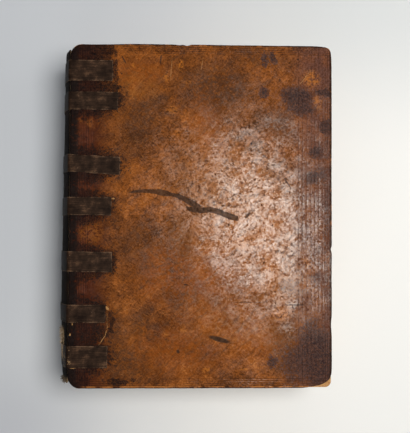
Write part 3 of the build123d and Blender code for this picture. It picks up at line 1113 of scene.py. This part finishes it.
# %% Finish of the spine leather
def torn_patch(place, cloud, fine):
    """Where leather above the tail is torn down to its fibres: a ragged strip along the spine."""
    y = coordinate(place, "Y") + (cloud - 0.5) * 12 + (fine - 0.5) * 8
    z = coordinate(place, "Z") + (cloud - 0.5) * 20 + (fine - 0.5) * 14
    along = y.rise(TORN_Y[0] - 2, TORN_Y[0] + 3) * y.rise(TORN_Y[1] + 2, TORN_Y[1] - 3)
    return along * z.rise(middle_z + 6, middle_z + 12) * z.rise(middle_z + 29, middle_z + 24)


def bare_fibre(fibre):
    """Tan of the torn fibres, dark between them."""
    return fibre.ramp((0.36, tone(86, 60, 40)), (0.47, tone(190, 152, 108)), (0.64, tone(232, 206, 166)))


def spine_finish():
    """Nearly black calf, rubbed brown on its ridges and tan where it is torn."""
    material, start, place = new_finish("spine_calf")
    cloud = grain(place, 16, 4.0, 0.65)
    fine = grain(place, 1.4, 4.0, 0.65)
    color = (cloud * 0.7 + fine * 0.3).ramp(
        (0.38, tone(13, 10, 9)), (0.55, tone(27, 20, 16)), (0.72, tone(60, 41, 29))
    )
    crack = grain(turned(place, 0, 0, 0, 6, 0.9, 9), 1.0, 4.0, 0.7).rise(0.62, 0.72)
    color = (crack * 0.4).mix(color, tone(84, 58, 38))
    shaken_y = coordinate(shaken(place, 5, 3.0), "Y")
    torn = torn_patch(place, cloud, fine).larger(shaken_y.rise(spine_tail + 7, spine_tail + 2) * 0.4)
    fibre = grain(turned(place, 0, 0, 8, 7, 0.5, 5), 1.0, 4.0, 0.7)
    color = (torn * fine.rise(0.30, 0.46)).mix(color, bare_fibre(fibre))
    height = cloud + fine * 0.6 + fibre * torn * 0.8 - crack * 0.5
    close_finish(start, color, 0.6 + torn * 0.25 + cloud * 0.12, height, depth=0.2, Specular_IOR_Level=0.02)
    return material


spine.data.materials.append(spine_finish())
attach(spine, "book_block")
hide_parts("spine_leather")
print("spine finished")

# %% [markdown]
# ## The repair straps
#
# Seven strips of thin dark leather hold the covers on. Each runs from one cover over the joint, round the
# spine and onto the other cover. A strap has to bend at both joints, and a piece can bend between two
# bodies only, so each is made as two halves that meet in the middle of the spine. The bend is narrow, right
# at the joint line.

# %% Build the strap halves
STRAP_EDGE_BEND = 0.35
STRAP_END_BEND = 0.55
STRAP_ROWS = 15
STRAP_COVER_COLUMNS = 34
STRAP_SPINE_COLUMNS = 30
STRAP_SHEET_SHARE = 0.86
STRAP_JOINT_SHARE = 0.985
STRAP_JOINT_STEP = 0.5


def strap_half(number, side):
    """Half a strap: from its end on a cover to the middle of the spine."""
    low, high = box_mm(f"strap_{number}_spine")
    end_low, end_high = box_mm(f"strap_{number}_{side}")
    place, sign, share = (front_place, 1, 1.0) if side == "front" else (back_place, -1, -1.0)
    reach = (end_high.x - joint_x) / (math.cos(front_slope) if side == "front" else 1.0)
    drift = end_low.y - low.y
    seed = 60 + number + (20 if side == "back" else 0)
    rows = []
    for across in spread(0.0, 1.0, STRAP_ROWS):
        y = low.y + across * (high.y - low.y)
        edge = STRAP_EDGE_BEND * (abs(2 * across - 1) ** 3) * (1 if across > 0.5 else -1)
        row = []
        ragged = STRAP_END_BEND * (wobble(seed, 3.5, y) + 0.6 * wobble(seed, 1.3, y) - 0.6)
        for u in spread(reach + ragged, half_gap + STRAP_JOINT_STEP, STRAP_COVER_COLUMNS):
            side_bend = edge * (wobble(seed + 1, 8, u, across) - 0.6)
            lift = -0.05 + 0.07 * wobble(seed + 2, 6, u, y)
            row.append(place @ Vector((u, sign * (y + drift * u / reach + side_bend), min(lift, 0.0))))
        for turn in spread(STRAP_JOINT_SHARE, 0.0, STRAP_SPINE_COLUMNS):
            bend = edge * (wobble(seed + 3, 8, turn * 40, across) - 0.6) * fade(turn, 0.0, 0.2)
            row.append(spine_point(y + bend, share * turn, strap_half_chord, strap_round))
        rows.append(row)
    return leather_sheet(f"strap_{number}_{side}_half", rows, strap_thickness * STRAP_SHEET_SHARE, seam=True)


halves = {}
for number in range(1, STRAP_COUNT + 1):
    for side in ("front", "back"):
        halves[number, side] = strap_half(number, side)
print("strap halves:", len(halves), "of", len(halves[1, "front"].data.polygons), "faces")


# %% Finish of the straps
FLAKED_Y = (-84, -88)


def strap_finish():
    """Thin dark brown leather with dull rubbed patches and grain along the strip."""
    material, start, place = new_finish("strap_leather")
    cloud = grain(place, 9, 4.0, 0.65)
    fine = grain(place, 0.9, 4.0, 0.65)
    strokes = grain(turned(place, 0, 0, 0, 14, 0.8, 10), 1.0, 4.0, 0.65)
    color = (cloud * 0.55 + strokes * 0.3 + fine * 0.15).ramp(
        (0.40, tone(30, 20, 15)), (0.48, tone(45, 32, 24)), (0.54, tone(57, 41, 31)), (0.62, tone(92, 67, 49))
    )
    x, y = coordinate(place, "X"), coordinate(place, "Y")
    color = (x.rise(joint_x + 1, joint_x - 4) * 0.75).mix(color, tone(12, 9, 8))
    torn = torn_patch(place, cloud, fine) * fine.rise(0.32, 0.48)
    color = torn.mix(color, bare_fibre(strokes))
    at_joint = x.rise(joint_x + 4, joint_x + 1)
    flaked = y.rise(*FLAKED_Y) * at_joint * (fine * 0.5 + cloud * 0.5).rise(0.54, 0.60)
    color = (flaked * 0.8).mix(color, tone(196, 158, 112))
    rim = start.make("ShaderNodeAttribute", {"attribute_name": "rim"}, out="Fac")
    rubbed = rim.rise(0.25, 0.9) * (cloud * 0.6 + fine * 0.4).rise(0.44, 0.58)
    color = (rubbed * 0.55).mix(color, tone(132, 104, 80))
    bright = dots(place, 0.35).rise(0.14, 0.05) * cloud.rise(0.5, 0.6)
    color = (bright * 0.6).mix(color, tone(150, 122, 98))
    roughness = 0.44 + cloud * 0.16
    height = cloud * 0.9 + fine * 0.3 + strokes * 0.5
    close_finish(start, color, roughness, height, depth=0.08, Specular_IOR_Level=0.04)
    return material


strap_leather = strap_finish()
for (number, side), half in halves.items():
    half.data.materials.append(strap_leather)
    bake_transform(half)
    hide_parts(f"strap_{number}_{side}", f"strap_{number}_spine")
print("straps finished")

# %% [markdown]
# ## Endbands and sewing cords
#
# At head and tail, the sewing ends in a band: a core with two colours of thread wound round it, turn by
# turn. Winding is what Geometry Nodes are for. The tree takes a line, puts a ring of thread at every step,
# tells every third turn apart, and makes it all one mesh. The sewing cords lie hidden under the spine, so
# their solids stay.

# %% Thread and cord finishes
THREAD_RADIUS = 0.2
THREAD_STEP = 1.9 * THREAD_RADIUS
BAND_CORE_RADIUS = 0.6
BAND_SPAN_SHARE = 0.92
BAND_STEPS = 40
CORD_COUNT = 5


def thread_finish():
    """Wound thread: two faded colours, told apart by an attribute of each turn."""
    material, start, place = new_finish("endband_thread")
    turn = start.make("ShaderNodeAttribute", {"attribute_name": "turn"}, out="Fac")
    twist = grain(turned(place, 0, 0, 35, 0.25, 1.2, 0.4), 1.0, 3.0)
    dirt = grain(place, 5, 3.0)
    color = turn.rise(0.4, 0.6).mix(tone(92, 74, 52), tone(58, 36, 24))
    color = (dirt.rise(0.36, 0.62) * 0.8).mix(color, tone(24, 18, 15))
    close_finish(start, color, 0.75 + twist * 0.15, twist, depth=0.08)
    return material


def hemp_finish():
    """Twisted hemp of the sewing cords."""
    material, start, place = new_finish("hemp_cord")
    strands = grain(turned(place, 0, 0, 40, 0.5, 2.4, 1.4), 1.0, 3.0)
    color = strands.ramp((0.35, tone(112, 90, 60)), (0.65, tone(186, 164, 124)))
    close_finish(start, color, 0.85 + strands * 0.1, strands, depth=0.2)
    return material


give_finish(hemp_finish(), *[f"sewing_cord_{number}" for number in range(1, CORD_COUNT + 1)])
print("cords finished")


# %% Helpers for geometry trees
def node_group(name, sizes):
    """A geometry tree with a line going in, a mesh coming out and named sizes."""
    group = bpy.data.node_groups.new(name, "GeometryNodeTree")
    group.interface.new_socket("Geometry", in_out="INPUT", socket_type="NodeSocketGeometry")
    for size, value in sizes.items():
        kind = "NodeSocketInt" if isinstance(value, int) else "NodeSocketFloat"
        group.interface.new_socket(size, in_out="INPUT", socket_type=kind).default_value = value
    group.interface.new_socket("Geometry", in_out="OUTPUT", socket_type="NodeSocketGeometry")
    entry = group.nodes.new("NodeGroupInput")
    given = {name: Wire(group, entry.outputs[name]) for name in ("Geometry", *sizes)}
    return group, Wire(group), given


def steps_along(start, given):
    """Points at even steps along the line that goes into a tree."""
    line = start.make("GeometryNodeMeshToCurve", None, {0: given["Geometry"]})
    sockets = {"Curve": line, "Length": given["Step"]}
    return start.make("GeometryNodeCurveToPoints", {"mode": "LENGTH"}, sockets)


def circle(start, corners, radius):
    """A round curve with a number of corners."""
    return start.make("GeometryNodeCurvePrimitiveCircle", None, {"Resolution": corners, "Radius": radius})


def end_group(start, geometry, material):
    """Ends a geometry tree: one mesh with a finish."""
    solid = start.make("GeometryNodeRealizeInstances", None, {0: geometry})
    coated = start.make("GeometryNodeSetMaterial", None, {"Geometry": solid, "Material": material})
    smooth = start.make("GeometryNodeSetShadeSmooth", None, {"Geometry": coated})
    start.make("NodeGroupOutput", None, {0: smooth})


def line_piece(name, points):
    """A line of points in millimetres, to be dressed by a geometry tree."""
    edges = [(k, k + 1) for k in range(len(points) - 1)]
    return placed(name, raw_mesh(name, points, edges, []))


def grown(piece, group, sizes):
    """The piece with its line replaced by what the tree makes of it, as a plain mesh."""
    modifier = piece.modifiers.new(group.name, "NODES")
    modifier.node_group = group
    for item in group.interface.items_tree:
        if item.item_type == "SOCKET" and item.in_out == "INPUT" and item.name in sizes:
            modifier[item.identifier] = sizes[item.name]
    view = bpy.context.evaluated_depsgraph_get()
    mesh = bpy.data.meshes.new_from_object(piece.evaluated_get(view))
    piece.modifiers.remove(modifier)
    piece.data = mesh
    return piece


print("tree helpers ready")


# %% A tree that winds thread along a line
RING_CORNERS = 12
THREAD_CORNERS = 5


def winding_group(material, sizes):
    """Rings of thread along a line, with every third turn marked."""
    group, start, given = node_group("thread_winding", sizes)
    points = steps_along(start, given)
    tangent = Wire(group, points.socket.node.outputs["Tangent"])
    heading = start.make("FunctionNodeAlignRotationToVector", {"axis": "Z"}, {"Vector": tangent})
    loop = circle(start, RING_CORNERS, given["Core radius"])
    thread = circle(start, THREAD_CORNERS, given["Thread radius"])
    ring = start.make("GeometryNodeCurveToMesh", None, {"Curve": loop, "Profile Curve": thread})
    wound = {"Points": points, "Instance": ring, "Rotation": heading}
    rings = start.make("GeometryNodeInstanceOnPoints", None, wound)
    third = start.math("MODULO", start.make("GeometryNodeInputIndex"), given["Colour every"])
    mark = {"Geometry": rings, "Name": "turn", "Value": start.math("LESS_THAN", third, 0.5)}
    settings = {"data_type": "FLOAT", "domain": "INSTANCE"}
    end_group(start, start.make("GeometryNodeStoreNamedAttribute", settings, mark), material)
    return group


winding_sizes = {
    "Step": THREAD_STEP * MM,
    "Core radius": BAND_CORE_RADIUS * MM,
    "Thread radius": THREAD_RADIUS * MM,
    "Colour every": 3,
}
winding = winding_group(thread_finish(), winding_sizes)
print(winding.name, len(winding.nodes), "nodes")

# %% Wind the endbands
band_half_angle = back_half_angle * BAND_SPAN_SHARE
for node in ("head_band", "tail_band"):
    low, high = box_mm(node)
    radius = back_radius - (high.y - low.y) / 2
    y = (low.y + high.y) / 2
    arc = []
    for angle in spread(-band_half_angle, band_half_angle, BAND_STEPS):
        x = shoulder_x + centre_depth - radius * math.cos(angle)
        arc.append((x, y, middle_z + radius * math.sin(angle)))
    band = grown(line_piece(f"{node}_winding", arc), winding, winding_sizes)
    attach(band, "book_block")
    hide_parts(node)
    print(band.name, len(band.data.polygons), "faces")

# %% [markdown]
# ## Torn fibres
#
# Torn leather ends in a fringe of fibres. A second tree scatters short bent hairs along the torn line at
# the tail of the spine. Their turns and lengths are random, with a fixed seed.


# %% A tree that scatters fibres
HAIR_BOW = {"Start": (0.0, 0.0, 0.0), "Middle": (-0.9, -0.8, 0.2), "End": (-1.3, -2.4, 0.0)}
HAIR_STEPS = 4
HAIR_CORNERS = 4


def fibre_finish():
    """Pale tan leather fibre, darker at the tail of the spine."""
    material, start, place = new_finish("torn_fibre")
    cloud = grain(place, 2.0, 3.0)
    color = cloud.ramp((0.36, tone(150, 118, 86)), (0.50, tone(222, 196, 160)), (0.66, tone(246, 232, 208)))
    color = (coordinate(place, "Y").rise(TORN_Y[0], TORN_Y[0] - 3) * 0.8).mix(color, tone(52, 37, 26))
    close_finish(start, color, 0.8 + cloud * 0.1, cloud, depth=0.05)
    return material


def fringe_group(material, sizes):
    """Short bent hairs at even steps along a line, each turned and scaled at random."""
    group, start, given = node_group("torn_fringe", sizes)
    bow = {name: [value * MM for value in point] for name, point in HAIR_BOW.items()}
    hair = start.make("GeometryNodeCurveQuadraticBezier", None, {"Resolution": HAIR_STEPS, **bow})
    section = circle(start, HAIR_CORNERS, given["Hair radius"])
    tube = {"Curve": hair, "Profile Curve": section, "Fill Caps": True}
    swing = {"Min": (-0.5, -0.7, -0.9), "Max": (0.5, 0.7, 0.7), "Seed": given["Seed"]}
    sizing = {"Min": 0.35, "Max": 1.15, "Seed": given["Seed"]}
    strewn = {
        "Points": steps_along(start, given),
        "Instance": start.make("GeometryNodeCurveToMesh", None, tube),
        "Rotation": start.make("FunctionNodeRandomValue", {"data_type": "FLOAT_VECTOR"}, swing),
        "Scale": start.make("FunctionNodeRandomValue", {"data_type": "FLOAT"}, sizing, out=1),
    }
    end_group(start, start.make("GeometryNodeInstanceOnPoints", None, strewn), material)
    return group


fringe_sizes = {"Step": 0.28 * MM, "Hair radius": 0.09 * MM, "Seed": 5}
fringe = fringe_group(fibre_finish(), fringe_sizes)
print(fringe.name, len(fringe.nodes), "nodes")

# %% Grow the fringes
FRINGE_STEPS = 90
TEAR_END_Y = -108.5
tail_line, tear_line = [], []
for share in spread(-0.86, 0.93, FRINGE_STEPS):
    y = spine_tail + 2.2 + 1.4 * wobble(71, 4, share * HALF_ARC)
    tail_line.append(spine_point(y, share, leather_half_chord, leather_round, -0.5))
for y in spread(TORN_Y[1], TEAR_END_Y, FRINGE_STEPS):
    share = 0.12 + 0.55 * abs(wobble(72, 1.2, y))
    tear_line.append(spine_point(y, share, leather_half_chord, leather_round, -0.45))
for name, line in (("tail_fringe", tail_line), ("tear_fringe", tear_line)):
    hairs = grown(line_piece(name, line), fringe, fringe_sizes)
    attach(hairs, "book_block")
    print(hairs.name, len(hairs.data.polygons), "faces")

# %% [markdown]
# ## Floor, light and camera
#
# The book lies on a pale table whose colour holds painted light: warm white on the side the window lights,
# painted shade in cool grey on the side of the spine and at two corners. The window is an oval lamp nearly
# overhead, a little towards the fore-edge, which gives the soft shadow along the spine.
# The sheen on the calf is its reflection. To let that be shaped alone, a second oval shows only in gloss,
# and the other lamps don't. Three weak fills and the sky light the sides. The camera's place was worked out
# from the corners of the cover.

# %% Floor and sky
FLOOR_SIZE = 6000.0
SKY_TONE = (0.94, 0.97, 1.0, 1.0)
SKY_STRENGTH = 0.12


def painted_light_table_finish():
    """A pale table top with painted light: warm white on the right, painted shade in cool grey on the left
    and at two corners.
    """
    material, start, place = new_finish("painted_light_table")
    x, y = coordinate(place, "X"), coordinate(place, "Y")
    cloud = grain(place, 150, 3.0)
    # Painted light: cool grey painted shade on the left, warm white on the right where the window's light
    # falls.
    color = (x - y * 0.45 + (cloud - 0.5) * 60).rise(-190, 210).mix(tone(210, 213, 217), tone(250, 249, 245))
    # Painted shade towards the top right.
    color = (y.rise(50, 210) * x.rise(-60, 160) * 0.7).mix(color, tone(220, 223, 223))
    # Painted shade towards the bottom left.
    color = (y.rise(-110, -200) * x.rise(-40, -170) * 0.6).mix(color, tone(188, 190, 196))
    close_finish(start, color, 0.7 + cloud * 0.1, grain(place, 4, 3.0), depth=0.05)
    return material


half_floor = FLOOR_SIZE / 2
corners = [(x * half_floor, y * half_floor, 0) for x, y in ((-1, -1), (1, -1), (1, 1), (-1, 1))]
floor = mesh_piece("table_top", corners, [(0, 1, 2, 3)])
floor.data.materials.append(painted_light_table_finish())

sky = bpy.data.worlds.new("studio_sky")
bpy.context.scene.world = sky
sky.use_nodes = True
background = sky.node_tree.nodes["Background"]
background.inputs["Color"].default_value = SKY_TONE
background.inputs["Strength"].default_value = SKY_STRENGTH
print("floor", floor.name)


# %% Lamps
def soft_lamp(name, place, target, sizes, watts, color, turn=0.0):
    """An oval lamp that faces a target, in metres, turned about its own axis in degrees."""
    lamp = bpy.data.lights.new(name, "AREA")
    lamp.shape = "ELLIPSE"
    lamp.size, lamp.size_y = sizes
    lamp.energy = watts
    lamp.color = color
    holder = placed(name, lamp)
    holder.location = place
    facing = (Vector(target) - Vector(place)).to_track_quat("-Z", "Y")
    holder.rotation_euler = (facing @ Quaternion((0, 0, 1), math.radians(turn))).to_euler()
    return holder


BOOK_MIDDLE = (0.0, 0.0, 0.0)
SHEEN_PLACE = (0.235, 0.002, 1.30)
SHEEN_TARGET = (0.04, 0.0, 0.07)
SHEEN_SIZE = (0.26, 0.47)
SHEEN_TONE = (1.0, 1.0, 0.94)
SHEEN_TURN_DEG = -63
SHEEN_WATTS = 6.9
WINDOW_PLACE = (0.37, 0.09, 1.20)
WINDOW_SIZE = (0.6, 0.6)
WINDOW_TONE = (1.0, 0.99, 0.97)
WINDOW_WATTS = 12.0
FILL_PLACES = ((1.5, 0.3, 0.75), (0.1, 1.5, 0.75), (0.0, -1.5, 0.75))
FILL_SIZE = (1.0, 1.0)
FILL_TONE = (0.97, 0.98, 1.0)
FILL_WATTS = 2.8
sheen_facts = (SHEEN_PLACE, SHEEN_TARGET, SHEEN_SIZE, SHEEN_WATTS, SHEEN_TONE, SHEEN_TURN_DEG)
sheen = soft_lamp("sheen_lamp", *sheen_facts)
sheen.visible_diffuse = False
fills = [soft_lamp("window_lamp", WINDOW_PLACE, BOOK_MIDDLE, WINDOW_SIZE, WINDOW_WATTS, WINDOW_TONE)]
for number, place in enumerate(FILL_PLACES):
    fills.append(soft_lamp(f"side_fill_{number}", place, BOOK_MIDDLE, FILL_SIZE, FILL_WATTS, FILL_TONE))
for fill in fills:
    fill.visible_glossy = False
print("lamps", 1 + len(fills))

# %% Camera
CAMERA_PLACE = (0.00211, -0.01739, 0.65)
CAMERA_TURN_DEG = (1.6137, -0.6959, 0.2578)
FOCAL_PIXELS = 690.87
FRAME_HEIGHT_PIXELS = 433
SENSOR_MM = 24.0
camera = bpy.data.cameras.new("camera_above")
camera.sensor_fit = "VERTICAL"
camera.sensor_height = SENSOR_MM
camera.lens = FOCAL_PIXELS / FRAME_HEIGHT_PIXELS * SENSOR_MM
viewer = placed("camera_above", camera)
viewer.location = CAMERA_PLACE
viewer.rotation_euler = [math.radians(angle) for angle in CAMERA_TURN_DEG]
bpy.context.scene.camera = viewer
bpy.context.scene.view_settings.view_transform = "Standard"
print("camera lens", round(camera.lens, 2), "mm")
